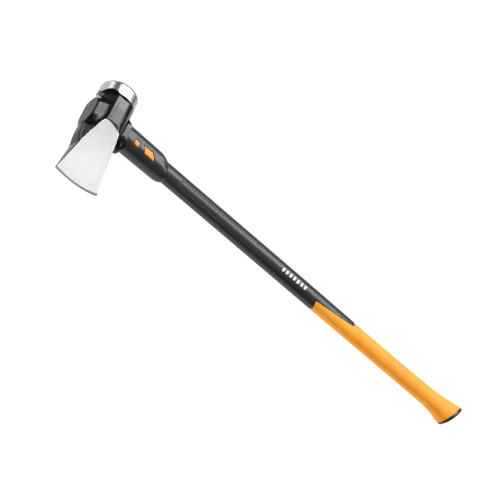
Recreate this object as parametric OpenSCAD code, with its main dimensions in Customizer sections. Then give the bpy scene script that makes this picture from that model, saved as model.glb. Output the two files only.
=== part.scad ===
// Splitting maul: forged wedge head with a turned hammer poll, hung on a long
// composite handle with an over-strike collar, a flared soft grip and an end cap.
// Worked out upright (x toward the cutting edge, y across the cheeks, z up the
// handle to the crown, zero at the middle of the eye), then laid on its side.
// Units are millimetres. Every solid is one physical piece of the tool.

/* [View] */
// which sub-part to show

/* [Head] */
// eye centre to the middle of the cutting edge
edge_x = 138.5; // [110:0.5:170]
// eye centre to the striking face of the poll
poll_x = 67.5; // [50:0.5:90]
// radius of the turned poll
poll_r = 35; // [28:0.5:42]
// rim chamfer of the poll
poll_rim = 5; // [2:0.5:8]
// where the turned poll meets the forging
poll_root_x = 38; // [30:1:50]
// half thickness between the cheek flats
cheek_y = 31; // [24:0.5:36]
// octagon size of the forging, |y| + |z|
oct_sum = 45; // [40:0.5:52]
// octagon size under the middle of the forging
oct_low = 48.3; // [42:0.1:54]
// half angle of the ground wedge, degrees
wedge_a = 13.4; // [9:0.1:18]
// half thickness left at the cutting edge
edge_half = 1; // [0.5:0.1:2]
// height of the upper corner of the cutting edge
toe_z = 43; // [34:0.5:55]
// depth of the lower corner of the cutting edge
heel_z = 44.6; // [34:0.1:55]
// setback of the upper corner from the edge middle
toe_back = 2.4; // [0:0.1:8]
// setback of the lower corner from the edge middle
heel_back = 9.8; // [2:0.1:14]
// height of the crown over the eye
crown_z = 40; // [34:0.5:46]
// flute radius in the upper cheek chamfers
flute_r = 39.4; // [36:0.1:60]

/* [Eye] */
// half length of the eye along the head
eye_a = 24; // [20:0.5:26]
// half width of the eye
eye_b = 15.5; // [13:0.5:18]
// half length of the skirt at its lower edge
skirt_a = 30; // [27:0.1:34]
// half width of the skirt at its lower edge
skirt_b = 20.4; // [18:0.1:23]
// how much wider the skirt is where it leaves the forging
skirt_flare = 4.6; // [2:0.1:8]
// rise of the arched lower edge on the cheek side
arch_rise = 8.6; // [4:0.1:12]
// how far the skirt reaches below the eye centre
skirt_z = 48; // [42:0.5:56]
// half length of the raised boss on the crown
boss_a = 31; // [29:0.5:34]
// half width of the raised boss on the crown
boss_b = 20.5; // [19:0.5:23]
// how far the boss and its plug sit toward the edge
boss_shift = 4.5; // [0:0.5:8]
// half length of the plug
plug_a = 28; // [25:0.5:31]
// half width of the plug
plug_b = 18; // [16:0.5:20]
// thickness of the plug closing the eye
plug_t = 7; // [4:0.5:12]
// thickness of the cured bond in the eye
bond_t = 0.6; // [0.3:0.1:1.5]

/* [Handle] */
// half depth of the shaft, toward the edge
shaft_a = 18.3; // [15:0.1:21]
// half width of the shaft
shaft_b = 14.4; // [12:0.1:17]
// half depth of the glass-fibre core
core_a = 11.5; // [9:0.1:14]
// half width of the glass-fibre core
core_b = 7.6; // [6:0.1:10]
// wall of the damping layer round the core
damp_t = 2; // [1:0.1:4]
// where the grip starts, below the eye centre
grip_z = 502; // [400:1:600]
// where the tongue of the shell ends, below the eye centre
tongue_z = 593; // [520:1:700]
// how far the shell carries on inside the grip
spigot_z = 846; // [780:1:860]
// step from the shell's surface down to its spigot in the grip
grip_t = 3; // [2:0.1:5]
// half depth of the waist of the grip
waist_a = 17.7; // [15:0.1:21]
// half depth of the flared end
knob_a = 25.6; // [22:0.1:30]
// half width of the flared end
knob_b = 20.8; // [18:0.1:26]
// where the sloping end plane crosses the handle axis
end_z = 862.2; // [820:0.1:900]
// slope of the end plane, degrees
end_slope = 26; // [0:1:35]
// height of the straight rim of the end cap
cap_wall = 5.5; // [2:0.5:8]
// rise of the dome of the end cap
cap_dome = 4; // [2:0.5:8]

/* [Collar] */
// half depth of the collar at the head
collar_a = 25.5; // [23:0.1:28]
// half width of the collar at the head
collar_b = 20; // [18:0.1:23]
// taper of the collar on the radius
collar_taper = 1.6; // [0:0.1:3]
// wall of the outer collar
collar_wall = 3; // [2:0.1:5]
// where the sloping lower end crosses the handle axis
collar_z = 132; // [110:1:160]
// length of the end taper
collar_tip = 13; // [8:1:30]
// slope of the lower end, degrees
collar_slope = 26.6; // [0:0.1:40]
// depth of the inlays in the collar wall
inlay_t = 1.6; // [1:0.1:2.5]

/* [Hidden] */
$fn = 96;
gap = 0.05;
far = 400;
edge_rise = (toe_z + heel_z) / 2;
edge_mid = (toe_z - heel_z) / 2;
edge_sag = (toe_back + heel_back) / 2;
edge_r = (edge_rise * edge_rise + edge_sag * edge_sag) / (2 * edge_sag);
edge_tilt = atan((heel_back - toe_back) / (toe_z + heel_z));
wedge_run = (cheek_y - edge_half) / tan(wedge_a);
sleeve_a = eye_a - bond_t - gap;
sleeve_b = eye_b - bond_t - gap;
layer_a = core_a + damp_t;
layer_b = core_b + damp_t;
shell_top = skirt_z + 2;
flare_z = end_z - 115;
knob_low = end_z + gap + (knob_a + cap_wall * sin(end_slope)) * tan(end_slope)
           + cap_wall * cos(end_slope);
mid_len = (knob_low - toe_z) / 2;
rest_y = poll_r;
mid_side = (edge_x - poll_x) / 2;
plug_top = crown_z - 2;
seat_z = plug_top - plug_t;
neck_a = eye_a + 1.5;
neck_b = eye_b + 1.5;
arch_top = arch_rise - skirt_z + 2;
arch_half = 28;
arch_r = (arch_half * arch_half + arch_rise * arch_rise) / (2 * arch_rise);

// colours of the finishes
forged = [0.07, 0.07, 0.075];
black = [0.16, 0.16, 0.165];
orange = [0.93, 0.52, 0.12];
grey = [0.33, 0.33, 0.33];
resin = [0.72, 0.66, 0.45];
glass = [0.80, 0.78, 0.62];

// sub-part names

// lay the upright tool on its cheek: crown to -x, cutting edge to -y
module lay_down() {
    translate([-mid_len, mid_side, rest_y])
        rotate([90, 0, -90])
            children();
}

// flat oval: two round ends and straight flanks
module oval(a, b) {
    translate([a - b, 0]) circle(r = b);
    translate([b - a, 0]) circle(r = b);
    square([2 * (a - b), 2 * b], center = true);
}

// upright oval bar between two heights
module oval_bar(a, b, z0, z1) {
    translate([0, 0, z0])
        linear_extrude(height = z1 - z0)
            oval(a, b);
}

// oval bar whose wall is grown or shrunk between two heights
module oval_cone(c, b0, b1, z0, z1) {
    for (s = [-1, 1])
        translate([s * c, 0, z0])
            cylinder(r1 = b0, r2 = b1, h = z1 - z0);
    translate([-c, 0, 0])
        rotate([90, 0, 90])
            linear_extrude(height = 2 * c)
                polygon([[-b0, z0], [b0, z0], [b1, z1], [-b1, z1]]);
}

// everything below a plane that slopes down toward the poll side
module below_plane(z, slope) {
    translate([0, 0, z])
        rotate([0, -slope, 0])
            translate([-far / 2, -far / 2, -far])
                cube([far, far, far]);
}

// side view of the forging, edge arc included
module side_view() {
    intersection() {
        polygon([
            [-poll_root_x - 6, 30.5], [-30, 33], [-19.5, 36.7], [-8, 39.4], [6, 39.8],
            [22.6, 38], [57.5, 37.6], [77.8, 33],
            [edge_x - toe_back, toe_z], [edge_x + 5, toe_z],
            [edge_x + 5, -heel_z], [edge_x - heel_back, -heel_z], [52, -26], [40, -28], [36, -34],
            [-poll_root_x - 6, -34]]);
        translate([edge_x, edge_mid])
            rotate(-edge_tilt)
                translate([-edge_r, 0])
                    circle(r = edge_r, $fn = 360);
    }
}

// top view of the forging: flat cheeks running into the ground wedge
module top_view() {
    root = edge_x - wedge_run;
    polygon([[-poll_root_x - 6, cheek_y], [root, cheek_y], [edge_x + 2, edge_half],
             [edge_x + 2, -edge_half], [root, -cheek_y], [-poll_root_x - 6, -cheek_y]]);
}

// end view of the forging: octagon
module end_view() {
    polygon([[cheek_y, oct_sum - cheek_y], [3, oct_sum - 3], [3, 60], [-3, 60],
             [-3, oct_sum - 3], [-cheek_y, oct_sum - cheek_y],
             [-cheek_y, cheek_y - oct_low], [-6, 6 - oct_low], [-6, -60], [6, -60],
             [6, 6 - oct_low], [cheek_y, cheek_y - oct_low]]);
}

// concave flute along one upper chamfer, closed by a round end
module flute(s) {
    back = [-22, s * 58.4, 38.9];
    front = [26, s * 57, 40.5];
    run = front - back;
    translate(front)
        rotate([0, acos(run[2] / norm(run)), atan2(run[1], run[0])])
            rotate_extrude()
                intersection() {
                    union() {
                        circle(r = flute_r);
                        translate([0, -norm(run) - 20])
                            square([flute_r, norm(run) + 20]);
                    }
                    translate([0, -200])
                        square([200, 400]);
                }
}

// round body under the arched lower edge of the skirt
module arch(grow) {
    translate([0, far / 2, arch_top - arch_r])
        rotate([90, 0, 0])
            cylinder(r = arch_r + grow, h = far);
}

// turned poll with a chamfered striking face
module poll() {
    rotate([0, -90, 0])
        rotate_extrude()
            polygon([[0, 30], [poll_r - 6, 30], [poll_r, poll_root_x], [poll_r, poll_x - poll_rim],
                     [poll_r - poll_rim * 0.55, poll_x - poll_rim * 0.3],
                     [poll_r - poll_rim, poll_x], [0, poll_x]]);
}

module head_body() {
    difference() {
        intersection() {
            translate([0, far / 2, 0])
                rotate([90, 0, 0])
                    linear_extrude(height = far)
                        side_view();
            translate([0, 0, -far / 2])
                linear_extrude(height = far)
                    top_view();
            translate([-far / 2, 0, 0])
                rotate([90, 0, 90])
                    linear_extrude(height = far)
                        end_view();
        }
        flute(1);
        flute(-1);
    }
}

// forged head with its eye, skirt and crown boss
module head() {
    color(forged)
        lay_down()
            difference() {
                union() {
                    head_body();
                    poll();
                    translate([boss_shift, 0, 0])
                        oval_bar(boss_a, boss_b, 20, plug_top);
                    oval_cone(skirt_a - skirt_b, skirt_b, skirt_b + skirt_flare,
                              -skirt_z, -skirt_z + 10);
                    oval_bar(skirt_a + skirt_flare, skirt_b + skirt_flare,
                             -skirt_z + 10, -skirt_z + 22);
                }
                oval_bar(eye_a, eye_b, -skirt_z - 1, crown_z + 1);
                translate([boss_shift, 0, 0])
                    oval_bar(plug_a, plug_b, seat_z, crown_z + 1);
                difference() {
                    arch(0);
                    oval_bar(neck_a, neck_b, -skirt_z - 1, -20);
                }
            }
}

// plug closing the top of the eye
module crown_plug() {
    color(grey)
        lay_down()
            translate([boss_shift, 0, 0])
                oval_bar(plug_a - gap, plug_b - gap, seat_z, plug_top);
}

// cured film between the eye wall and the sleeve
module eye_bond() {
    color(resin)
        lay_down()
            difference() {
                oval_bar(eye_a - gap, eye_b - gap, -skirt_z, seat_z - gap);
                oval_bar(sleeve_a + gap, sleeve_b + gap, -skirt_z - 1, crown_z);
            }
}

// rigid sleeve that fills the eye round the core
module eye_sleeve() {
    color(black)
        lay_down()
            difference() {
                oval_bar(sleeve_a, sleeve_b, -skirt_z, seat_z - gap);
                oval_bar(layer_a + gap, layer_b + gap, -skirt_z - 1, crown_z);
            }
}

// load-bearing glass-fibre core
module core_rod() {
    color(glass)
        lay_down()
            oval_bar(core_a, core_b, -spigot_z, seat_z - 1);
}

// soft layer bonded round the core
module damping_layer() {
    color(orange)
        lay_down()
            difference() {
                oval_bar(layer_a, layer_b, -spigot_z, seat_z - 1);
                oval_bar(core_a + gap, core_b + gap, -spigot_z - 1, crown_z);
            }
}

// side outline of the black part of the handle, with its tongue
module tongue_side() {
    polygon([[60, -20], [60, -grip_z], [8, -grip_z], [-0.6, -tongue_z + 11],
             [-4, -tongue_z + 2], [-8, -tongue_z], [-60, -tongue_z], [-60, -20]]);
}

module tongue_block(grow) {
    translate([0, far / 2, 0])
        rotate([90, 0, 0])
            linear_extrude(height = far)
                translate([0, -grow])
                    tongue_side();
}

// hollow outer shell of the handle, carried on inside the grip
module shaft_shell() {
    color(black)
        lay_down()
            difference() {
                union() {
                    intersection() {
                        oval_bar(shaft_a, shaft_b, -tongue_z - 5, -shell_top);
                        tongue_block(0);
                    }
                    oval_bar(shaft_a - grip_t, shaft_b - grip_t, -spigot_z, -shell_top);
                }
                oval_bar(layer_a + gap, layer_b + gap, -spigot_z - 1, -20);
            }
}

// outer form of the collar: tapered oval, then a sloping tip down to the shaft
module collar_form(skin) {
    c = collar_a - collar_b;
    intersection() {
        oval_cone(c, collar_b - collar_taper - skin, collar_b - skin, -160, -skirt_z - gap);
        union() {
            difference() {
                oval_bar(60, 50, -160, -20);
                below_plane(-collar_z + collar_tip, -collar_slope);
            }
            translate([0, 0, -collar_z])
                rotate([0, collar_slope, 0])
                    oval_cone(c + 2, shaft_b + 0.8 - skin, collar_b + 1 - skin, 0, collar_tip + 2);
        }
    }
}

// soft buffer between the shaft and the collar
module collar_buffer() {
    color(orange)
        lay_down()
            difference() {
                intersection() {
                    collar_form(collar_wall + gap);
                    oval_bar(60, 50, -collar_z + collar_tip + 12, -20);
                }
                oval_bar(shaft_a + gap, shaft_b + gap, -200, -10);
            }
}

// outlines of the inlays on the side of the collar
module small_window(grow) {
    translate([5, -60])
        square([10 + 2 * grow, 10 + 2 * grow], center = true);
}

module large_window(grow) {
    polygon([[-0.5 - grow, -73.5 + grow], [11 + grow, -80 + grow],
             [11 + grow, -103 - grow], [-0.5 - grow, -94 - grow]]);
}

// block on one cheek side of the handle, with the outline given as a child
module side_block(s) {
    translate([0, s > 0 ? 60 : 0, 0])
        rotate([90, 0, 0])
            linear_extrude(height = 60)
                children();
}

module inlay_skin() {
    c = collar_a - collar_b;
    difference() {
        oval_cone(c, collar_b - collar_taper - 0.3, collar_b - 0.3, -160, -skirt_z - gap);
        oval_cone(c, collar_b - collar_taper - inlay_t, collar_b - inlay_t, -161, -20);
    }
}

// arched ends of the collar that lap over the neck of the head
module collar_shield() {
    intersection() {
        difference() {
            oval_bar(collar_a, collar_b, -skirt_z - 1, -30);
            oval_bar(neck_a + gap, neck_b + gap, -skirt_z - gap, -20);
        }
        arch(-gap);
    }
}

// hard black sleeve that takes missed blows
module strike_collar() {
    c = collar_a - collar_b;
    color(black)
        lay_down()
            difference() {
                union() {
                    collar_form(0);
                    collar_shield();
                }
                intersection() {
                    collar_form(collar_wall);
                    oval_bar(60, 50, -collar_z + collar_tip + 12, -20);
                }
                oval_bar(shaft_a + gap, shaft_b + gap, -200, -10);
                difference() {
                    union() {
                        for (s = [-1, 1]) {
                            side_block(s) small_window(gap);
                            side_block(s) large_window(gap);
                        }
                    }
                    oval_cone(c, collar_b - collar_taper - inlay_t - gap,
                              collar_b - inlay_t - gap, -161, -20);
                }
            }
}

module inlay_small_near() {
    color(orange)
        lay_down()
            intersection() {
                inlay_skin();
                side_block(1) small_window(0);
            }
}

module inlay_small_far() {
    color(orange)
        lay_down()
            intersection() {
                inlay_skin();
                side_block(-1) small_window(0);
            }
}

module inlay_large_near() {
    color(orange)
        lay_down()
            intersection() {
                inlay_skin();
                side_block(1) large_window(0);
            }
}

module inlay_large_far() {
    color(orange)
        lay_down()
            intersection() {
                inlay_skin();
                side_block(-1) large_window(0);
            }
}

// outer form of the grip: waist, slow swell, then the flared end
module grip_form(skin) {
    c = knob_a - knob_b;
    w = waist_a - c;
    for (s = [-1, 1])
        translate([s * c, 0, 0])
            rotate_extrude()
                grip_half(w, skin);
    translate([-c, 0, 0])
        rotate([90, 0, 90])
            linear_extrude(height = 2 * c) {
                grip_half(w, skin);
                mirror([1, 0]) grip_half(w, skin);
            }
}

module grip_half(w, skin) {
    polygon([[0, -grip_z + 20], [w + 0.5 - skin, -grip_z + 20], [w - skin, -tongue_z],
             [w - skin, -flare_z + 40], [w + 0.2 - skin, -flare_z],
             [w + 1 - skin, -flare_z - 35], [w + 2.5 - skin, -flare_z - 62],
             [w + 4.8 - skin, -flare_z - 84], [knob_b - 0.6 - skin, -flare_z - 108],
             [knob_b - skin, -flare_z - 118], [knob_b - skin, -end_z - 40],
             [0, -end_z - 40]]);
}

// orange soft grip with its flared end
module grip() {
    color(orange)
        lay_down()
            difference() {
                grip_form(0);
                tongue_block(gap);
                below_plane(-end_z, end_slope);
                oval_bar(shaft_a - grip_t + gap, shaft_b - grip_t + gap, -900, -400);
                intersection() {
                    grip_form(3.5);
                    oval_bar(60, 50, -900, -flare_z - 55);
                }
            }
}

// rigid former inside the flared end
module grip_core() {
    color(grey)
        lay_down()
            difference() {
                intersection() {
                    grip_form(3.5 + gap);
                    oval_bar(60, 50, -900, -flare_z - 55 - gap);
                }
                below_plane(-end_z + gap, end_slope);
                oval_bar(shaft_a - grip_t + gap, shaft_b - grip_t + gap, -spigot_z - gap, -400);
            }
}

// hard cap closing the sloping end, gently domed
module end_cap() {
    reach = knob_a / cos(end_slope) + 1.5;
    dome_r = (reach * reach + cap_dome * cap_dome) / (2 * cap_dome);
    color(black)
        lay_down()
            intersection() {
                oval_bar(knob_a, knob_b, -900, -800);
                translate([0, 0, -end_z - gap])
                    rotate([0, -end_slope, 0])
                        intersection() {
                            translate([0, 0, -20]) cylinder(r = 60, h = 20);
                            translate([0, 0, dome_r - cap_wall - cap_dome])
                                sphere(r = dome_r, $fn = 180);
                        }
            }
}

// assembly
head();
crown_plug();
eye_bond();
eye_sleeve();
core_rod();
damping_layer();
shaft_shell();
collar_buffer();
strike_collar();
inlay_small_near();
inlay_small_far();
inlay_large_near();
inlay_large_far();
grip();
grip_core();
end_cap();
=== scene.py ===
"""Splitting maul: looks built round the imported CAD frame.

Lengths inside shapes are millimetres in tool axes: x toward the cutting edge, y toward the upper cheek,
z along the handle toward the crown, zero in the middle of the eye.
"""

import math

import bpy
import numpy as np
from mathutils import Matrix, Vector


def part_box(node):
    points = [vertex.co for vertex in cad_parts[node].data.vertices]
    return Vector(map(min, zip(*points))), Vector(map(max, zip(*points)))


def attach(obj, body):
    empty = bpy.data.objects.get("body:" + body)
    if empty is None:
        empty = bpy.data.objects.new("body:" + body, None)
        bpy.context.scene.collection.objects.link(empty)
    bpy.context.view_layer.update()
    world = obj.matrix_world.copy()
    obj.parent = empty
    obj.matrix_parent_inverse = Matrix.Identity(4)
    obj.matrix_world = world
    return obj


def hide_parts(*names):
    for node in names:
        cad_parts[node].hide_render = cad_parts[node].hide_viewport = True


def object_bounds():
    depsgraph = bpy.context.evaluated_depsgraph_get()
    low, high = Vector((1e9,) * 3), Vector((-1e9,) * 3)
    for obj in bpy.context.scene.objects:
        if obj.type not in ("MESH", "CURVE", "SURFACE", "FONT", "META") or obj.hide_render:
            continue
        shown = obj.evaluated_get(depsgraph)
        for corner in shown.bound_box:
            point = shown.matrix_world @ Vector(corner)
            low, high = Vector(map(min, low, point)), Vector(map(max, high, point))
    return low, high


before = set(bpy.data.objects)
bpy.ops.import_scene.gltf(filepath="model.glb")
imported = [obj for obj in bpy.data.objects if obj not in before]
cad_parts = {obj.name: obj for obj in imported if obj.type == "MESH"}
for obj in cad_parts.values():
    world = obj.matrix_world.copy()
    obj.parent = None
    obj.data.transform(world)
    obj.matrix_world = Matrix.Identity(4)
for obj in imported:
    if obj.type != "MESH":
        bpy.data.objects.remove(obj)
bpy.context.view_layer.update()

MM = 0.001
SKIRT_Z = -48.0
EYE_A, EYE_B = 24.0, 15.5
bond_low, bond_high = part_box("eye_bond")
head_low, head_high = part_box("head")
EYE = Vector(
    (
        bond_high.x + SKIRT_Z * MM,
        (bond_low.y + bond_high.y) / 2,
        (head_low.z + head_high.z) / 2,
    )
)


def place(p):
    """Tool millimetres to frame metres, for one point or an array of them."""
    p = np.asarray(p, float)
    out = np.stack([-p[..., 2], -p[..., 0], p[..., 1]], -1) * MM
    return out + np.array(EYE)


def turn(v):
    """A tool direction as a frame direction."""
    return Vector((-v[2], -v[0], v[1]))


# ---------------------------------------------------------------- fields
def smax(a, b, k):
    """Larger of two distances, rounded where they meet over a width k."""
    h = np.maximum(k - np.abs(a - b), 0.0) / k
    return np.maximum(a, b) + h * h * k * 0.25


def smin(a, b, k):
    return -smax(-a, -b, k)


def oval_dist(x, y, a, b):
    """Distance from an oval bar's wall: two round ends and straight flanks."""
    c = np.maximum(a - b, 0.0)
    return np.hypot(np.maximum(np.abs(x) - c, 0.0), y) - b


def surface_nets(field, lo, hi, step):
    """Closed quad mesh of field = 0 inside the box, vertices pulled onto the surface."""
    ax = [np.arange(lo[i], hi[i] + step, step) for i in range(3)]
    nx, ny, nz = (len(a) for a in ax)
    val = np.empty((nx, ny, nz), np.float32)
    for i0 in range(0, nx, 24):
        xs = ax[0][i0 : i0 + 24]
        g = np.meshgrid(xs, ax[1], ax[2], indexing="ij")
        val[i0 : i0 + 24] = field(g[0], g[1], g[2])
    inside = val < 0
    cell = np.zeros((nx - 1, ny - 1, nz - 1), np.uint8)
    for dx in (0, 1):
        for dy in (0, 1):
            for dz in (0, 1):
                cell += inside[dx : nx - 1 + dx, dy : ny - 1 + dy, dz : nz - 1 + dz]
    act = (cell > 0) & (cell < 8)
    ids = np.full(act.shape, -1, np.int64)
    idx = np.argwhere(act)
    ids[act] = np.arange(len(idx))
    acc = np.zeros((len(idx), 3))
    cnt = np.zeros(len(idx))
    corners = [(a, b, c) for a in (0, 1) for b in (0, 1) for c in (0, 1)]
    for a in corners:
        for k in range(3):
            if a[k]:
                continue
            b = list(a)
            b[k] = 1
            va = val[idx[:, 0] + a[0], idx[:, 1] + a[1], idx[:, 2] + a[2]]
            vb = val[idx[:, 0] + b[0], idx[:, 1] + b[1], idx[:, 2] + b[2]]
            hit = (va < 0) != (vb < 0)
            t = np.where(hit, va / np.where(va == vb, 1, va - vb), 0)
            p = np.tile(np.array(a, float), (len(idx), 1))
            p[:, k] += t
            acc += np.where(hit[:, None], p, 0)
            cnt += hit
    verts = np.array(lo) + (idx + acc / cnt[:, None]) * step
    quads = []
    for k in range(3):
        sl0 = [slice(None)] * 3
        sl1 = [slice(None)] * 3
        sl0[k] = slice(0, -1)
        sl1[k] = slice(1, None)
        a, b = inside[tuple(sl0)], inside[tuple(sl1)]
        e = np.argwhere(a != b)
        u, v = [i for i in range(3) if i != k]
        ok = (
            (e[:, u] > 0)
            & (e[:, v] > 0)
            & (e[:, u] < inside.shape[u] - 1)
            & (e[:, v] < inside.shape[v] - 1)
        )
        e = e[ok]
        flip = a[tuple(e.T)]
        if k == 1:
            flip = ~flip
        ring = []
        for du, dv in ((0, 0), (-1, 0), (-1, -1), (0, -1)):
            c = e.copy()
            c[:, u] += du
            c[:, v] += dv
            ring.append(ids[tuple(c.T)])
        q = np.stack(ring, 1)
        q[~flip] = q[~flip][:, ::-1]
        quads.append(q)
    quads = np.concatenate(quads)
    for _ in range(3):
        f, n = gradient(field, verts)
        verts = verts - np.clip(f, -step, step)[:, None] * n
    return verts, quads


def gradient(field, p, h=0.02):
    """Estimated distance and outward normal at points, from central differences."""
    x, y, z = p[:, 0], p[:, 1], p[:, 2]
    f = field(x, y, z)
    g = np.stack(
        [
            field(x + h, y, z) - field(x - h, y, z),
            field(x, y + h, z) - field(x, y - h, z),
            field(x, y, z + h) - field(x, y, z - h),
        ],
        1,
    ) / (2 * h)
    m = np.maximum(np.linalg.norm(g, axis=1), 0.2)
    return f / m, g / m[:, None]


def make_object(name, verts, faces, material, node, normals=None):
    """Mesh from points in tool millimetres, riding the body and standing in for its CAD node."""
    mesh = bpy.data.meshes.new(name)
    if len(faces) and len(faces[0]) == 4 and isinstance(faces, np.ndarray):
        mesh.vertices.add(len(verts))
        mesh.vertices.foreach_set("co", place(verts).astype(np.float32).ravel())
        mesh.loops.add(faces.size)
        mesh.loops.foreach_set("vertex_index", faces.astype(np.int32).ravel())
        mesh.polygons.add(len(faces))
        mesh.polygons.foreach_set("loop_start", np.arange(0, faces.size, 4, dtype=np.int32))
        mesh.update(calc_edges=True)
        mesh.validate()
    else:
        mesh.from_pydata([tuple(v) for v in place(verts)], [], [list(f) for f in faces])
    mesh.shade_smooth()
    if normals is not None:
        n = np.stack([-normals[:, 2], -normals[:, 0], normals[:, 1]], 1)
        mesh.normals_split_custom_set_from_vertices(n.astype(np.float32).tolist())
    mesh.materials.append(material)
    obj = bpy.data.objects.new(name, mesh)
    bpy.context.scene.collection.objects.link(obj)
    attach(obj, "root")
    if node:
        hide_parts(node)
    return obj


def paint(obj, name, values):
    """A named value per vertex, read by the material."""
    at = obj.data.attributes.new(name, "FLOAT", "POINT")
    at.data.foreach_set("value", np.asarray(values, np.float32))


# ---------------------------------------------------------------- materials
class Nodes:
    """A small helper that adds shader nodes and joins them by socket."""

    def __init__(self, name):
        self.mat = bpy.data.materials.new(name)
        self.mat.use_nodes = True
        self.tree = self.mat.node_tree
        self.bsdf = self.tree.nodes["Principled BSDF"]
        self.coord = self.add("ShaderNodeTexCoord").outputs["Object"]

    def add(self, kind, **settings):
        n = self.tree.nodes.new(kind)
        for k, v in settings.items():
            setattr(n, k, v)
        return n

    def link(self, a, b):
        self.tree.links.new(a, b)

    def fill(self, socket, value):
        if hasattr(value, "links"):
            self.link(value, socket)
        else:
            socket.default_value = value

    def math(self, op, a, b):
        n = self.add("ShaderNodeMath", operation=op)
        self.fill(n.inputs[0], a)
        self.fill(n.inputs[1], b)
        return n.outputs[0]

    def stretch(self, scale):
        n = self.add("ShaderNodeMapping")
        n.inputs["Scale"].default_value = scale
        self.link(self.coord, n.inputs["Vector"])
        return n.outputs[0]

    def noise(self, scale, detail=4.0, rough=0.55, vector=None):
        n = self.add("ShaderNodeTexNoise")
        n.inputs["Scale"].default_value = scale
        n.inputs["Detail"].default_value = detail
        n.inputs["Roughness"].default_value = rough
        self.link(vector if vector is not None else self.coord, n.inputs["Vector"])
        return n.outputs["Fac"]

    def ramp(self, fac, lo, hi, a=0.0, b=1.0):
        n = self.add("ShaderNodeMapRange", interpolation_type="SMOOTHSTEP")
        self.fill(n.inputs["Value"], fac)
        n.inputs["From Min"].default_value = lo
        n.inputs["From Max"].default_value = hi
        n.inputs["To Min"].default_value = a
        n.inputs["To Max"].default_value = b
        return n.outputs["Result"]

    def mix(self, fac, a, b):
        n = self.add("ShaderNodeMix", data_type="RGBA")
        self.fill(n.inputs["Factor"], fac)
        self.fill(n.inputs[6], a)
        self.fill(n.inputs[7], b)
        return n.outputs[2]

    def mix_vector(self, fac, a, b):
        n = self.add("ShaderNodeMix", data_type="VECTOR")
        self.fill(n.inputs[0], fac)
        self.link(a, n.inputs[4])
        self.link(b, n.inputs[5])
        return n.outputs[1]

    def attribute(self, name):
        return self.add("ShaderNodeAttribute", attribute_name=name).outputs["Fac"]

    def bump(self, height, strength, distance):
        n = self.add("ShaderNodeBump")
        n.inputs["Strength"].default_value = strength
        n.inputs["Distance"].default_value = distance
        self.link(height, n.inputs["Height"])
        return n.outputs[0]

    def out(self, **sockets):
        for k, v in sockets.items():
            self.fill(self.bsdf.inputs[k.replace("_", " ")], v)
        return self.mat


def rgb(r, g, b):
    """8-bit screen colour to linear."""

    def linear(c):
        return c / 12.92 if c <= 0.04045 else ((c + 0.055) / 1.055) ** 2.4

    return tuple(linear(c / 255) for c in (r, g, b)) + (1.0,)


def head_material():
    """Black paint; ground steel where "bare" says so, turned on the poll; painted shade on a band along
    the edge, and a painted shading ramp across the ground face.
    """
    n = Nodes("forged_and_ground")
    bare = n.ramp(n.attribute("bare"), -0.12, 0.12)
    edge_bevel_shade = n.ramp(n.attribute("edge_bevel_shade"), -0.15, 0.15)
    lathe = n.ramp(n.attribute("lathe"), -0.15, 0.15)
    streak = n.noise(1.0, 4.0, 0.55, n.stretch((420.0, 16.0, 420.0)))
    broad = n.noise(1.0, 3.0, 0.5, n.stretch((70.0, 9.0, 70.0)))
    rings = n.noise(1.0, 3.0, 0.5, n.stretch((60.0, 2600.0, 60.0)))
    dents = n.noise(160.0, 4.0, 0.6)
    ground = n.mix(n.ramp(streak, 0.25, 0.75), rgb(214, 214, 213), rgb(226, 226, 225))
    ground = n.mix(n.math("MULTIPLY", n.ramp(broad, 0.4, 0.7), 0.4), ground, rgb(198, 198, 197))
    # painted shading on the ground face: darker at its root, lighter toward the edge, as the light falls
    # across it
    reach = n.ramp(n.attribute("reach"), 0.0, 1.0)
    facet_shaded_root = n.mix(0.5, ground, rgb(180, 180, 179))
    facet_lit_edge = n.mix(0.5, ground, rgb(244, 244, 243))
    ground = n.mix(reach, facet_shaded_root, facet_lit_edge)
    turned = n.mix(n.ramp(rings, 0.3, 0.7), rgb(146, 146, 145), rgb(168, 168, 167))
    ground = n.mix(lathe, ground, turned)
    # painted shade: the band along the cutting edge is the ground steel drawn darker, standing in for the
    # bevel's slope, which is not built
    ground = n.mix(edge_bevel_shade, ground, rgb(140, 141, 143))
    coat = n.mix(n.ramp(dents, 0.3, 0.75), rgb(3, 3, 3), rgb(9, 9, 9))
    colour = n.mix(bare, coat, ground)
    rough = n.math("ADD", n.math("MULTIPLY", bare, 0.14), 0.25)
    fine = n.ramp(streak, 0.2, 0.8, -0.03, 0.03)
    rough = n.math("ADD", rough, fine)
    scratch = n.bump(streak, 0.05, 0.0002)
    turning = n.bump(rings, 0.06, 0.0002)
    peel = n.bump(dents, 0.12, 0.0004)
    relief = n.mix_vector(lathe, n.mix_vector(bare, peel, scratch), turning)
    rough = n.math("SUBTRACT", rough, n.math("MULTIPLY", lathe, 0.08))
    n.bsdf.inputs["Specular IOR Level"].default_value = 0.3
    return n.out(Base_Color=colour, Metallic=bare, Roughness=rough, Normal=relief)


def plastic_material(name, dark, light, rough, grain, lift):
    """Moulded surface: a broad drift between two tones, and a fine grain lifted a little."""
    n = Nodes(name)
    fine = n.noise(grain, 3.0, 0.6)
    broad = n.noise(30.0, 3.0, 0.5)
    colour = n.mix(n.ramp(broad, 0.3, 0.7), dark, light)
    r = n.ramp(fine, 0.3, 0.7, rough - 0.012, rough + 0.012)
    return n.out(Base_Color=colour, Roughness=r, Normal=n.bump(fine, lift, 0.0003))


# ---------------------------------------------------------------- head
EDGE_X, EDGE_HALF, WEDGE = 138.5, 0.9, math.radians(13.4)
CHEEK_Y = 31.0
POLL_R, POLL_X, POLL_RIM = 35.0, 67.5, 5.0
TOE, HEEL = (136.1, 43.0), (128.7, -44.6)
HALF_ROOT = math.sqrt(0.5)

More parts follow.
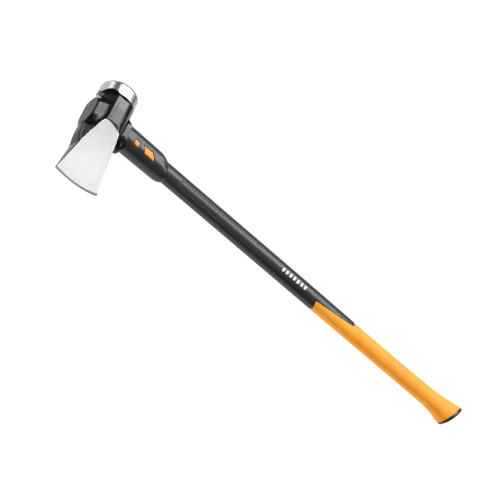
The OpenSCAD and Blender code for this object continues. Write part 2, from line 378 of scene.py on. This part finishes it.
# |y| + z of the upper chamfer along the head, and |y| - z of the lower one
UPPER_X = [-30, 8, 17, 26, 38, 56, 75, 95, 140]
UPPER_SUM = [41.8, 42.0, 43.4, 45.6, 46.2, 47.4, 47.4, 46.4, 45.0]
LOWER_SUM = 48.3

# height of the crown along the head, from the poll to the front of the boss
CROWN_X = [-56, -50, -47, -43, -39, -34, -28, -19.5, -10, 22.6]
CROWN_Z = [46, 39.0, 36.6, 35.0, 34.3, 34.1, 34.4, 35.0, 35.5, 35.5]
CROWN_TOP = 35.5

# corners of the deck in front of the boss and of the belly behind the heel
DECK_BACK, DECK_MID, DECK_FRONT = (20.0, 38.5), (57.5, 37.8), (77.8, 33.0)
BELLY_BACK, BELLY_FRONT = (30.0, -36.0), (52.0, -27.5)

# where the forging widens into the turned poll, over what run and by how much
FLARE_X, FLARE_RUN, FLARE_OUT = -38.0, 4.0, 7.0

# thin line in each cheek flat: radius, height, slope, and its two ends; the flat leans back above it
GROOVE_R, GROOVE_Z, GROOVE_RISE = 0.45, 6.6, 0.04
GROOVE_BACK, GROOVE_FRONT = -26, 9
STRIP_Z, STRIP_LEAN = 7.0, 0.17

# the turned surface ends here; toward the edge it opens out and cuts nothing
LATHE_END, LATHE_OPEN = -21.0, 1.2

# the forged surface stands this far outside the ground wedge before it is cut
GROUND_DEPTH = 0.7

# oval pad on the crown, and the plug pocket in it
BOSS_A, BOSS_B, BOSS_SHIFT, BOSS_TOP = 31.0, 20.2, 4.5, 38.6
POCKET_A, POCKET_B, POCKET_Z = 28.2, 18.2, 31.0
PAD_FLOOR = 12.0

# wall round the eye under the pad: half width at its top, draft, top, middle and half length
WALL_HALF, WALL_DRAFT, WALL_Z = 17.4, 0.4, 36.0
WALL_TOP, WALL_X, WALL_RUN = 36.5, 8.0, 28.0

# arched lower edge of the skirt
ARCH_TOP, ARCH_RISE, ARCH_HALF = -37.3, 8.6, 28.0

# half length and half width of the skirt by height
SKIRT_A_Z = [-47, -46, -43, -39, -36, -32, -20]
SKIRT_A = [28, 30.0, 34.5, 35.8, 35.0, 33.0, 33.0]
SKIRT_B_Z = [-47, -46, -38, -28, -22, -15]
SKIRT_B = [21.2, 21.4, 21.8, 21.9, 22.6, 25.0]


def line_above(x, z, p, q):
    """Signed distance above the straight line p to q in side view."""
    d = np.array([q[0] - p[0], q[1] - p[1]])
    d = d / np.hypot(*d)
    return (z - p[1]) * d[0] - (x - p[0]) * d[1]


def edge_arc(x, z):
    """Distance outside the round cutting edge, an arc through its two corners."""
    mid = ((TOE[0] + HEEL[0]) / 2, (TOE[1] + HEEL[1]) / 2)
    half = math.hypot(TOE[0] - HEEL[0], TOE[1] - HEEL[1]) / 2
    sag = EDGE_X - mid[0] - 0.1
    r = (half * half + sag * sag) / (2 * sag)
    n = ((TOE[1] - HEEL[1]) / (2 * half), -(TOE[0] - HEEL[0]) / (2 * half))
    cx, cz = mid[0] - n[0] * (r - sag), mid[1] - n[1] * (r - sag)
    return np.hypot(x - cx, z - cz) - r


def bar_top(x, y, z, cx, a, b, top, r, draft):
    """Oval pad with a rounded rim and drafted walls."""
    wall = oval_dist(x - cx, y, a, b) + (z - top) * draft
    q, w = np.maximum(wall + r, 0.0), np.maximum(z - top + r, 0.0)
    return np.hypot(q, w) - r + np.minimum(np.maximum(wall + r, z - top + r), 0.0)


def skirt_edge(x):
    """Arched lower edge of the skirt, where the collar starts."""
    return ARCH_TOP - ARCH_RISE * np.clip(np.abs(x) / ARCH_HALF, 0, 1) ** 2


def facet_outline(x, z):
    """Outline of the ground face in side view: straight sides and a rounded root."""
    root = np.where(z < 3.0, 16.6 + (3.0 - z) * 0.24, 16.6) - x
    high = (z - 15.0) * 0.93 - (x - 18.5) * 0.36
    low = (-(z + 20.5) - (x - 23.0) * 0.26) * 0.96
    return smax(smax(root, high, 5.0), low, 6.0)


def head_parts(x, y, z):
    """The named surfaces of the head, each a distance that is positive outside it."""
    ay = np.abs(y)
    s, c = math.sin(WEDGE), math.cos(WEDGE)
    wedge = (ay - EDGE_HALF) * c - (EDGE_X - x) * s
    flare = np.clip((FLARE_X - x) / FLARE_RUN, 0.0, 1.0)
    flare = flare * flare * (3 - 2 * flare) * FLARE_OUT
    cheek = ay - CHEEK_Y - flare
    strip = (ay - CHEEK_Y) * 0.985 + (z - STRIP_Z) * STRIP_LEAN - flare
    groove = GROOVE_R - np.hypot(ay - CHEEK_Y - 0.1, z - GROOVE_Z - GROOVE_RISE * x)
    groove = np.where((x > GROOVE_BACK) & (x < GROOVE_FRONT), groove, -9.0)
    upper = (ay + z - np.interp(x, UPPER_X, UPPER_SUM)) * HALF_ROOT - np.clip((-36 - x) / 10.0, 0, 1) * 6.0
    lower = (ay - z - LOWER_SUM) * HALF_ROOT - flare
    crown = (z - np.interp(x, CROWN_X, CROWN_Z)) * 0.93
    front = line_above(x, z, DECK_BACK, DECK_MID)
    slope = line_above(x, z, DECK_MID, DECK_FRONT)
    rise = line_above(x, z, DECK_FRONT, TOE)
    deck = np.where(x > DECK_FRONT[0], rise, smax(front, slope, 1.5))
    step = z - CROWN_TOP - np.clip((x - 22.0) / 12.0, 0, 1) * 3.0
    deck = np.where(x > 34.0, deck, np.maximum(deck, step))
    deck = np.where(x > 15.0, deck, crown)
    under = -line_above(x, z, BELLY_FRONT, HEEL)
    belly = -line_above(x, z, BELLY_BACK, BELLY_FRONT)
    belly = smin(under, belly, 3.0)
    belly = np.where(x < 36, -z - POLL_R + 1.0, belly)
    lathe = np.hypot(y, z) - POLL_R
    lathe = lathe - np.maximum(x - LATHE_END, 0.0) * LATHE_OPEN
    rim = smax((np.hypot(y, z) - (POLL_R - POLL_RIM) - (x + POLL_X)) * HALF_ROOT, lathe, 3.0)
    return {
        "wedge": wedge,
        "cheek": np.maximum(smax(cheek, strip, 0.4), groove),
        "upper": upper,
        "lower": lower,
        "deck": deck,
        "belly": belly,
        "arc": edge_arc(x, z),
        "lathe": lathe,
        "rim": rim,
        "face": -x - POLL_X,
        "outline": facet_outline(x, z),
    }


def forging(p, x, y, z):
    """The forged surfaces alone, rounded into each other."""
    f = smax(p["cheek"], p["upper"], 1.0)
    f = smax(f, p["lower"], 6.5)
    f = smax(f, p["deck"], 4.0)
    f = smax(f, p["belly"], 2.5)
    ease = np.clip((x + 26.0) / 14.0, 0.0, 1.0)
    boss = bar_top(x, y, z, BOSS_SHIFT, BOSS_A, BOSS_B, BOSS_TOP, 1.5 + 5.5 * ease, 0.12 * ease)
    f = smin(f, np.maximum(boss, PAD_FLOOR - z), 5.0)
    wall = smax(np.abs(y) - WALL_HALF - WALL_DRAFT * (WALL_Z - z), z - WALL_TOP, 9.0)
    wall = smax(wall, np.abs(x - WALL_X) - WALL_RUN, 8.0)
    f = smin(f, np.maximum(wall, PAD_FLOOR - z), 4.0)
    a = np.interp(z, SKIRT_A_Z, SKIRT_A)
    b = np.interp(z, SKIRT_B_Z, SKIRT_B)
    skirt = smax(oval_dist(x, y, a, b) * 0.9, skirt_edge(x) - z, 1.0)
    skirt = smax(skirt, z + 8.0, 2.0)
    f = smin(f, skirt, 3.0)
    return smax(f, p["wedge"] - GROUND_DEPTH, 1.2)


def head_field(x, y, z):
    """The forging with its ground and turned faces, its eye and the plug pocket cut."""
    p = head_parts(x, y, z)
    f = forging(p, x, y, z)
    f = smax(f, np.minimum(p["wedge"], -p["outline"]), 0.5)
    f = smax(f, p["arc"], 0.3)
    f = smax(f, p["lathe"], 0.5)
    f = smax(f, p["rim"], 0.6)
    f = smax(f, p["face"], 1.2)
    eye = np.maximum(oval_dist(x, y, EYE_A, EYE_B), SKIRT_Z - 2 - z)
    pocket = np.maximum(oval_dist(x - BOSS_SHIFT, y, POCKET_A, POCKET_B), POCKET_Z - z)
    return smax(f, -np.minimum(eye, pocket), 0.8)


def build_head():
    """The whole forging, with values per vertex that tell the material what was ground or turned and where
    to paint shade on the ground steel.
    """
    lo, hi = (-69.5, -37.0, -50.5), (141.0, 37.0, 45.5)
    step = 0.7
    v, q = surface_nets(head_field, lo, hi, step)
    _, n = gradient(head_field, v)
    obj = make_object("maul_head", v, q, head_material(), "head", n)
    p = head_parts(v[:, 0], v[:, 1], v[:, 2])
    forged = forging(p, v[:, 0], v[:, 1], v[:, 2])
    facet = np.maximum(np.minimum(p["wedge"], -p["outline"]), p["arc"])
    ground = np.maximum.reduce([facet, p["lathe"], p["rim"], p["face"]])
    paint(obj, "bare", np.minimum(ground - forged + 0.25, ground + 0.5))
    # band along the edge that the material paints darker, as shade for the bevel
    paint(obj, "edge_bevel_shade", p["arc"] + 2.6)
    # ramp along the head for the painted shading of the ground face
    paint(obj, "reach", (v[:, 0] - 20.0) / 90.0)
    paint(obj, "lathe", np.maximum(p["lathe"], p["rim"]) - p["wedge"])


# ---------------------------------------------------------------- collar and inlays
COLLAR_FULL = (-111.0, -129.0)
COLLAR_END = (-122.0, -142.0)
COLLAR_A, COLLAR_B = 25.5, 20.0
BORE_A, BORE_B = 17.5, 13.6
WINDOW_DEEP = 1.5
SMALL_ROUND, LARGE_ROUND = 2.2, 1.6


def slanted(x, ends):
    """Height of a plane that passes the poll side and the edge side at the given heights."""
    t = (x + 22.0) / 44.0
    return ends[0] + (ends[1] - ends[0]) * t


def rounded_poly(x, z, pts, r):
    """Distance outside a convex outline with its corners rounded; points run clockwise."""
    d = None
    for (ax, az), (bx, bz) in zip(pts, pts[1:] + pts[:1]):
        e = np.array([bx - ax, bz - az])
        e = e / np.hypot(*e)
        side = -(x - ax) * e[1] + (z - az) * e[0]
        d = side if d is None else smax(d, side, r)
    return d


SMALL_WINDOW = [(0.2, -54.2), (10.0, -55.6), (10.2, -66.0), (0.4, -64.4)]
LARGE_WINDOW = [(-1.2, -73.6), (11.2, -80.4), (11.2, -102.6), (-1.2, -94.4)]


def collar_skin(x, y, z):
    """Outer skin of the collar: a slow taper, then a sloping tip down to the shaft."""
    t = np.clip((SKIRT_Z - z) / 85.0, 0, 1)
    wall = oval_dist(x, y, COLLAR_A - 1.7 * t, COLLAR_B - 1.0 * t)
    drop = slanted(x, COLLAR_FULL) - z
    lean = np.clip(drop / 12.0, -0.2, 1.2)
    tip = oval_dist(x, y, 25.2 - 5.4 * lean, 20.2 - 4.4 * lean) * 0.94
    return smax(wall, tip, 2.5)


def windows(x, z):
    """Distance outside the nearer of the two inlay windows, in side view."""
    small = rounded_poly(x, z, SMALL_WINDOW, SMALL_ROUND)
    large = rounded_poly(x, z, LARGE_WINDOW, LARGE_ROUND)
    return np.minimum(small, large)


def collar_field(x, y, z):
    skin = collar_skin(x, y, z)
    f = smax(skin, z - (skirt_edge(x) - 0.35), 0.8)
    f = smax(f, slanted(x, COLLAR_END) - z, 1.0)
    w = np.where(np.abs(y) > 6, windows(x, z), 50.0)
    f = smax(f, -np.maximum(w - 0.5, -skin - WINDOW_DEEP), 0.8)
    return np.maximum(f, -oval_dist(x, y, BORE_A, BORE_B))


def inlay_field(points, r, side):
    """Shape of one inlay on the cheek given by side, just inside its window."""

    def field(x, y, z):
        w = rounded_poly(x, z, points, r)
        skin = collar_skin(x, y, z)
        f = smax(w + 0.25, skin + 0.25, 0.9)
        f = smax(f, -skin - 2.2, 0.3)
        return np.maximum(f, 6 - side * y)

    return field


# ---------------------------------------------------------------- handle lofts
END_SLOPE = 0.488
OVAL_POWER = 2.15
SHELL_TOP, SHELL_PLAIN = -60, -470
GRIP_PLAIN = -640
CAP_RING = -865.0


def loft(rings, closed_end=False):
    """Quads over equal-length rings of points; a closed end gets one flat face."""
    n = len(rings[0])
    verts = [tuple(p) for ring in rings for p in ring]
    faces = []
    for i in range(len(rings) - 1):
        for j in range(n):
            a, b = i * n + j, i * n + (j + 1) % n
            faces.append((a, b, b + n, a + n))
    if closed_end:
        last = (len(rings) - 1) * n
        faces.append(tuple(last + j for j in range(n)))
    return verts, faces


SHAFT_KEYS = dict(
    z=[-870, -640, -594, -520, -480, -420, -200, -150, -40],
    edge=[18.7, 18.7, 18.7, 18.3, 18.2, 18.2, 18.3, 18.5, 18.5],
    poll=[16.7, 16.7, 17.2, 17.9, 18.2, 18.2, 18.3, 18.5, 18.5],
    half=[14.4, 14.4, 14.4, 14.4, 14.4, 14.4, 14.4, 14.4, 14.4],
)
GRIP_KEYS = dict(
    z=[-865, -860, -852, -844, -834, -820, -800, -775, -740, -594, -500],
    edge=[26.0, 25.6, 23.6, 21.6, 20.0, 18.7, 18.0, 17.9, 18.2, 18.6, 18.6],
    poll=[26.0, 25.6, 24.6, 23.6, 22.2, 20.3, 18.7, 18.1, 17.4, 16.7, 16.7],
    half=[20.3, 20.0, 19.1, 17.9, 16.6, 15.3, 14.3, 13.8, 13.6, 13.6, 13.8],
)


def section(keys, z, phi, grow):
    """Point on a handle section: x toward the edge, y across, for a height and an angle."""
    zs = keys["z"]
    e = np.interp(z, zs, keys["edge"]) + grow
    p = np.interp(z, zs, keys["poll"]) + grow
    h = np.interp(z, zs, keys["half"]) + grow
    c, s = np.cos(phi), np.sin(phi)
    r = (np.abs(c) ** OVAL_POWER + np.abs(s) ** OVAL_POWER) ** (-1 / OVAL_POWER)
    return np.where(c > 0, e, p) * c * r, h * s * r


def joint_line(phi):
    """Height where the black shell stops, round the handle: a ring, then a long tongue."""
    a = np.degrees(np.abs(np.arctan2(np.sin(phi), np.cos(phi))))
    return np.interp(
        a,
        [0, 30, 60, 63, 65, 68, 89, 92, 95, 99, 105, 180],
        [-505, -503, -500, -500.5, -503.5, -512, -573, -581, -587, -591, -593, -593],
    )


PANEL_DEPTH, PANEL_MID, PANEL_HALF = 0.5, 70.0, 25.0
PANEL_START, PANEL_FADE = -163, -430


def panel_depth(z, phi):
    """A long shallow flat let into each side of the shell, with a rounded start."""
    a = np.degrees(np.abs(np.arctan2(np.sin(phi), np.cos(phi))))
    run = np.clip((PANEL_START - z) / 12.0, 0, 1)
    half = PANEL_HALF * np.sqrt(run * (2 - run))
    edge = np.clip((half - np.abs(a - PANEL_MID)) / 3.5, 0, 1) * (run > 0)
    fade = np.clip((z - PANEL_FADE) / 180.0, 0, 1)
    return PANEL_DEPTH * edge * edge * (3 - 2 * edge) * fade


def ring_at(keys, z, phi, grow=0.0, panel=False):
    """One ring of a handle piece; toward the end cap the rings lean over to its slope."""
    g = grow - (panel_depth(z, phi) if panel else 0.0)
    x, y = section(keys, z, phi, g)
    w = np.clip((-z - 690) / 110.0, 0, 1)
    w = w * w * (3 - 2 * w)
    return np.stack([x, y, z + END_SLOPE * x * w], 1)


def build_shell(mat):
    """Black shell from inside the collar to the joint with the grip."""
    n = 288
    phi = np.linspace(0, 2 * np.pi, n, endpoint=False)
    rings = []
    for z in np.arange(SHELL_TOP, SHELL_PLAIN, -2.0):
        rings.append(ring_at(SHAFT_KEYS, np.full(n, z), phi, panel=True))
    end = joint_line(phi)
    for t in np.linspace(0, 1, 24):
        z = SHELL_PLAIN + t * (end - SHELL_PLAIN)
        rings.append(ring_at(SHAFT_KEYS, z, phi, panel=True))
    for grow, dz in ((-0.15, -0.25), (-0.45, -0.4), (-2.2, -0.4)):
        rings.append(ring_at(SHAFT_KEYS, end + dz, phi, grow))
    v, f = loft(rings)
    make_object("handle_shell", np.array(v), f, mat, "shaft_shell")


def build_grip(mat):
    """Soft grip from the joint to the sloping end."""
    n = 288
    phi = np.linspace(0, 2 * np.pi, n, endpoint=False)
    start = joint_line(phi) - 0.75
    rings = []
    for grow, dz in ((-2.0, 0.0), (-0.6, 0.0), (-0.2, -0.2), (0.0, -0.7)):
        rings.append(ring_at(GRIP_KEYS, start + dz, phi, grow))
    for t in np.linspace(0.02, 1, 30):
        rings.append(ring_at(GRIP_KEYS, (start - 0.7) * (1 - t) + GRIP_PLAIN * t, phi))
    for z in np.arange(GRIP_PLAIN - 3, -860.5, -2.5):
        rings.append(ring_at(GRIP_KEYS, np.full(n, z), phi))
    for grow, z in ((0, -861.0), (-0.1, -861.8), (-0.5, -862.2), (-3.0, -862.2)):
        rings.append(ring_at(GRIP_KEYS, np.full(n, z), phi, grow))
    v, f = loft(rings)
    make_object("soft_grip", np.array(v), f, mat, "grip")


def build_cap(mat):
    """Domed cap on the sloping end."""
    n = 128
    phi = np.linspace(0, 2 * np.pi, n, endpoint=False)
    rings = []
    base = ring_at(GRIP_KEYS, np.full(n, CAP_RING), phi)
    steps = (
        (0.90, -861.8), (0.985, -862.3), (0.998, -862.7), (1.002, -863.4), (1.002, -866.6),
        (0.995, -867.8), (0.97, -868.9), (0.90, -869.9), (0.75, -870.8), (0.5, -871.6),
        (0.25, -872.0), (0.06, -872.1),
    )
    for q, z in steps:
        r = base * [q, q, 0] + [0, 0, z]
        r[:, 2] += END_SLOPE * r[:, 0]
        rings.append(r)
    v, f = loft(rings, closed_end=True)
    make_object("end_cap_shell", np.array(v), f, mat, "end_cap")


def build_plug(mat):
    """Oval plug, slightly domed, with a shallow groove inside its rim."""
    n = 128
    t = np.linspace(0, 2 * np.pi, n, endpoint=False)
    a, b = 27.9, 17.9
    rings = []
    steps = (
        (1.0, 31.1), (1.0, 36.6), (0.99, 37.1), (0.965, 37.35), (0.93, 37.3), (0.915, 37.1),
        (0.89, 37.15), (0.8, 37.35), (0.6, 37.6), (0.4, 37.8), (0.2, 37.9), (0.05, 37.9),
    )
    for q, z in steps:
        c = (a - b) * q
        x = np.sign(np.cos(t)) * c + b * q * np.cos(t)
        rings.append(np.stack([x + BOSS_SHIFT, b * q * np.sin(t), np.full(n, z)], 1))
    v, f = loft(rings, closed_end=True)
    make_object("eye_plug", np.array(v), f, mat, "crown_plug")


def build_marks(mat):
    """Plain slanted bars printed along the shell."""
    verts, faces = [], []
    count, pitch, width, tall, lean = 7, 9.0, 4.6, 6.6, 2.0
    for k in range(count):
        z0 = -413.0 - k * pitch
        rows, cols = 5, 7
        base = len(verts)
        for i in range(rows):
            for j in range(cols):
                u, w = i / (rows - 1), j / (cols - 1)
                z = z0 - u * width - (w - 0.5) * lean
                phi = math.radians(68.0) + (w * tall) / 14.8
                p = ring_at(SHAFT_KEYS, np.array([z]), np.array([phi]), 0.05, panel=True)[0]
                verts.append(tuple(p))
        for i in range(rows - 1):
            for j in range(cols - 1):
                a = base + i * cols + j
                faces.append((a, a + 1, a + cols + 1, a + cols))
    make_object("printed_bars", np.array(verts), faces, mat, None)


def build_collar(black, orange):
    """Collar with its windows, and an inlay in each window."""
    lo, hi = (-28.0, -22.5, -150.0), (28.0, 22.5, -35.0)
    step = 0.6
    v, q = surface_nets(collar_field, lo, hi, step)
    _, n = gradient(collar_field, v)
    make_object("guard_collar", v, q, black, "strike_collar", n)
    shapes = (
        ("small", SMALL_WINDOW, SMALL_ROUND, (-3, 13), (-69, -51)),
        ("large", LARGE_WINDOW, LARGE_ROUND, (-4, 14), (-106, -70)),
    )
    for size, pts, r, xr, zr in shapes:
        for side, word in ((1, "near"), (-1, "far")):
            fld = inlay_field(pts, r, side)
            ys = (6.5, 22.0) if side > 0 else (-22.0, -6.5)
            v, q = surface_nets(fld, (xr[0], ys[0], zr[0]), (xr[1], ys[1], zr[1]), 0.5)
            _, n = gradient(fld, v)
            make_object(f"inlay_{size}_{word}_pad", v, q, orange, f"inlay_{size}_{word}", n)


build_head()
shell_black = plastic_material("shell_black", rgb(26, 26, 27), rgb(34, 34, 35), 0.36, 900.0, 0.015)
collar_black = plastic_material("collar_black", rgb(22, 22, 23), rgb(30, 30, 31), 0.36, 700.0, 0.03)
grip_orange = plastic_material("grip_orange", rgb(252, 156, 24), rgb(255, 167, 38), 0.55, 1200.0, 0.15)
inlay_orange = plastic_material("inlay_orange", rgb(246, 148, 28), rgb(251, 157, 40), 0.5, 600.0, 0.1)
cap_black = plastic_material("cap_black", rgb(30, 40, 44), rgb(38, 50, 54), 0.35, 500.0, 0.1)
plug_grey = plastic_material("plug_grey", rgb(74, 74, 75), rgb(92, 92, 92), 0.7, 400.0, 0.6)
mark_white = plastic_material("mark_white", rgb(225, 225, 225), rgb(240, 240, 240), 0.5, 900.0, 0.1)
build_shell(shell_black)
build_grip(grip_orange)
build_cap(cap_black)
build_plug(plug_grey)
build_collar(collar_black, inlay_orange)
build_marks(mark_white)


# ---------------------------------------------------------------- set
def area_light(name, loc, target, size, power):
    data = bpy.data.lights.new(name, "AREA")
    data.shape = "RECTANGLE"
    data.size, data.size_y = size
    data.energy = power
    obj = bpy.data.objects.new(name, data)
    obj.location = loc
    obj.rotation_euler = (Vector(target) - Vector(loc)).to_track_quat("-Z", "Y").to_euler()
    bpy.context.scene.collection.objects.link(obj)


FLOOR_SIZE, FLOOR_GLOW, SKY_GLOW = 14, 0.97, 0.15


def build_set():
    """Pale glowing floor, a dim even sky and four soft lights."""
    bpy.ops.mesh.primitive_plane_add(size=FLOOR_SIZE, location=(0, 0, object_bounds()[0][2] - 0.0005))
    floor = bpy.context.object
    floor.name = "studio_floor"
    n = Nodes("studio_white")
    c = n.mix(n.noise(3.0), rgb(150, 150, 150), rgb(154, 154, 154))
    n.bsdf.inputs["Emission Color"].default_value = (1, 1, 1, 1)
    n.bsdf.inputs["Emission Strength"].default_value = FLOOR_GLOW
    floor.data.materials.append(n.out(Base_Color=c, Roughness=0.9))
    world = bpy.data.worlds.new("studio")
    world.use_nodes = True
    sky = world.node_tree.nodes["Background"]
    sky.inputs["Color"].default_value = (1, 1, 1, 1)
    sky.inputs["Strength"].default_value = SKY_GLOW
    bpy.context.scene.world = world
    area_light("softbox", (0.12, 1.25, 1.6), (-0.05, 0, 0), (3.0, 0.45), 56)
    area_light("overhead", (0.1, 0.1, 2.4), (-0.05, 0, 0), (3.2, 1.6), 8)
    area_light("front_fill", (-0.9, -1.7, 1.7), (0.2, 0, 0), (1.8, 1.2), 18)
    area_light("crown_card", (-2.2, 1.25, 0.33), (-0.42, 0, 0.04), (0.6, 0.5), 6)
    bpy.context.scene.view_settings.view_transform = "Standard"


CAMERA_AT = (1911, 2429, 995)
CAMERA_LENS, CAMERA_SENSOR = 140.7, 36


def build_camera():
    """Long lens looking at the upper cheek from the blade and crown side."""
    right = turn((-0.3236, 0.6389, -0.6979))
    up = turn((-0.7585, 0.2658, 0.595))
    back = turn((0.5657, 0.7219, 0.3986))
    cam = bpy.data.cameras.new("camera")
    cam.lens = CAMERA_LENS
    cam.sensor_width = CAMERA_SENSOR
    obj = bpy.data.objects.new("camera", cam)
    m = Matrix((right, up, back)).transposed().to_4x4()
    m.translation = Vector(place(CAMERA_AT))
    obj.matrix_world = m
    bpy.context.scene.collection.objects.link(obj)
    bpy.context.scene.camera = obj


build_set()
build_camera()
